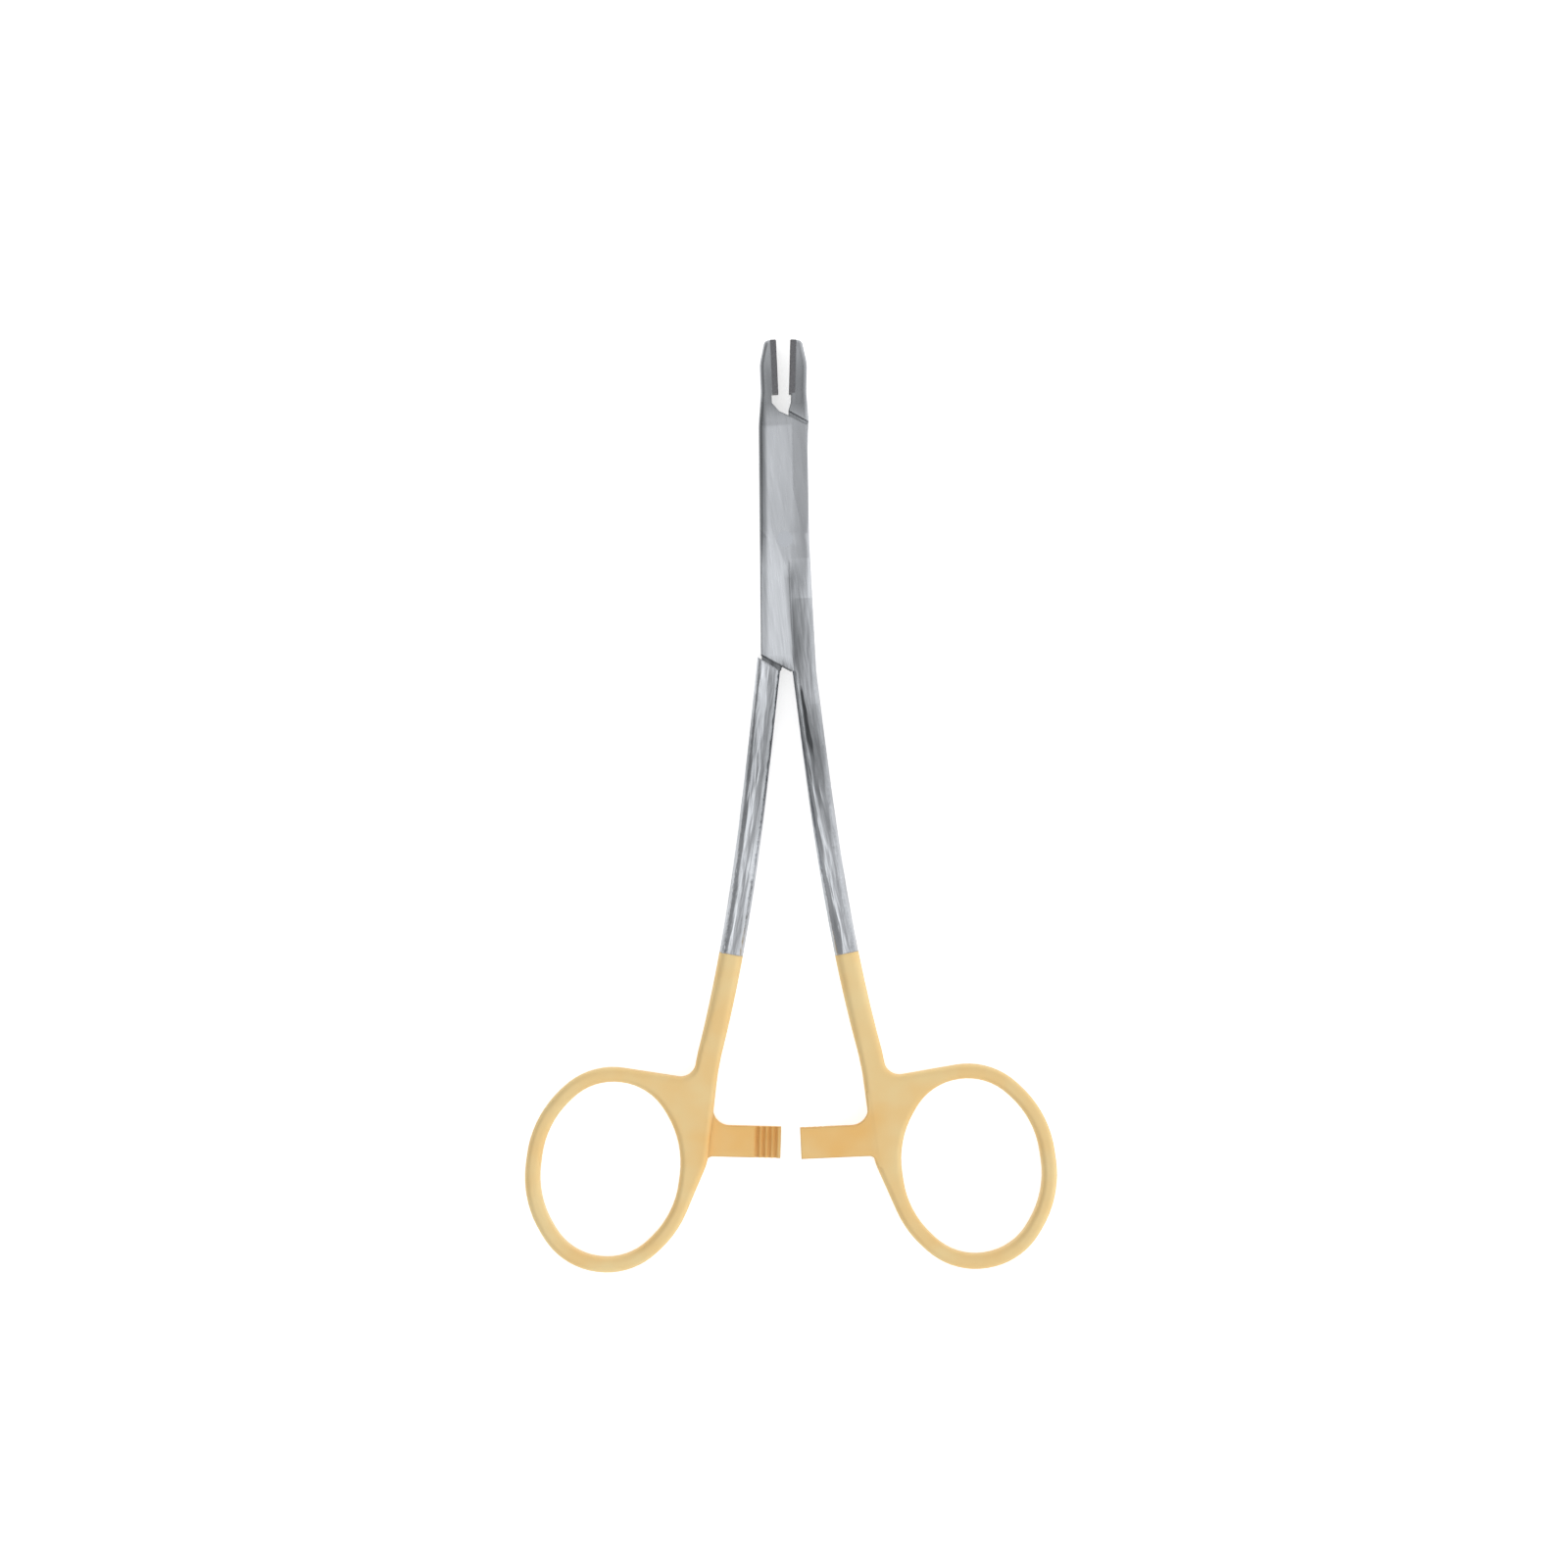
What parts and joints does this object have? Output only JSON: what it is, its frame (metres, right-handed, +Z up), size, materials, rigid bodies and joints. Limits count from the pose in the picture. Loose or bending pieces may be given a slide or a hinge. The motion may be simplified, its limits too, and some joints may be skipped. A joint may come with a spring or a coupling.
{
  "type": "surgical needle holder",
  "caption": "Ring-handled needle holder with a box lock, hard-metal jaw inserts, a ratchet and gold-plated finger rings, lying a few degrees open.",
  "frame": {"origin": "the pivot's axis at the flat underside of the lock box, on which the instrument lies", "axes": "+Y to the jaw tips, +X across to the shank of the box half, +Z up out of the surface that it lies on"},
  "size_m": [0.0804, 0.1406, 0.005],
  "materials": {
    "satin_steel": "satin ground stainless steel",
    "polished_pin": "stainless rivet ground flush",
    "hard_metal": "dull grey sintered hard metal, cross-cut",
    "gold_plate": "satin gold plating on the shanks' lower ends, rings and ratchet arms"
  },
  "bodies": {
    "female_half": {"box_half": "satin_steel", "pivot_pin": "polished_pin", "left_jaw_insert": "hard_metal"},
    "male_half": {"tongue_half": "satin_steel", "right_jaw_insert": "hard_metal"}
  },
  "joints": [
    {"name": "box_lock_pivot", "type": "hinge", "parent": "female_half", "child": "male_half", "pos_m": [0, 0, 0.0025], "axis": [0, 0, -1], "range_deg": [-4, 46]}
  ]
}
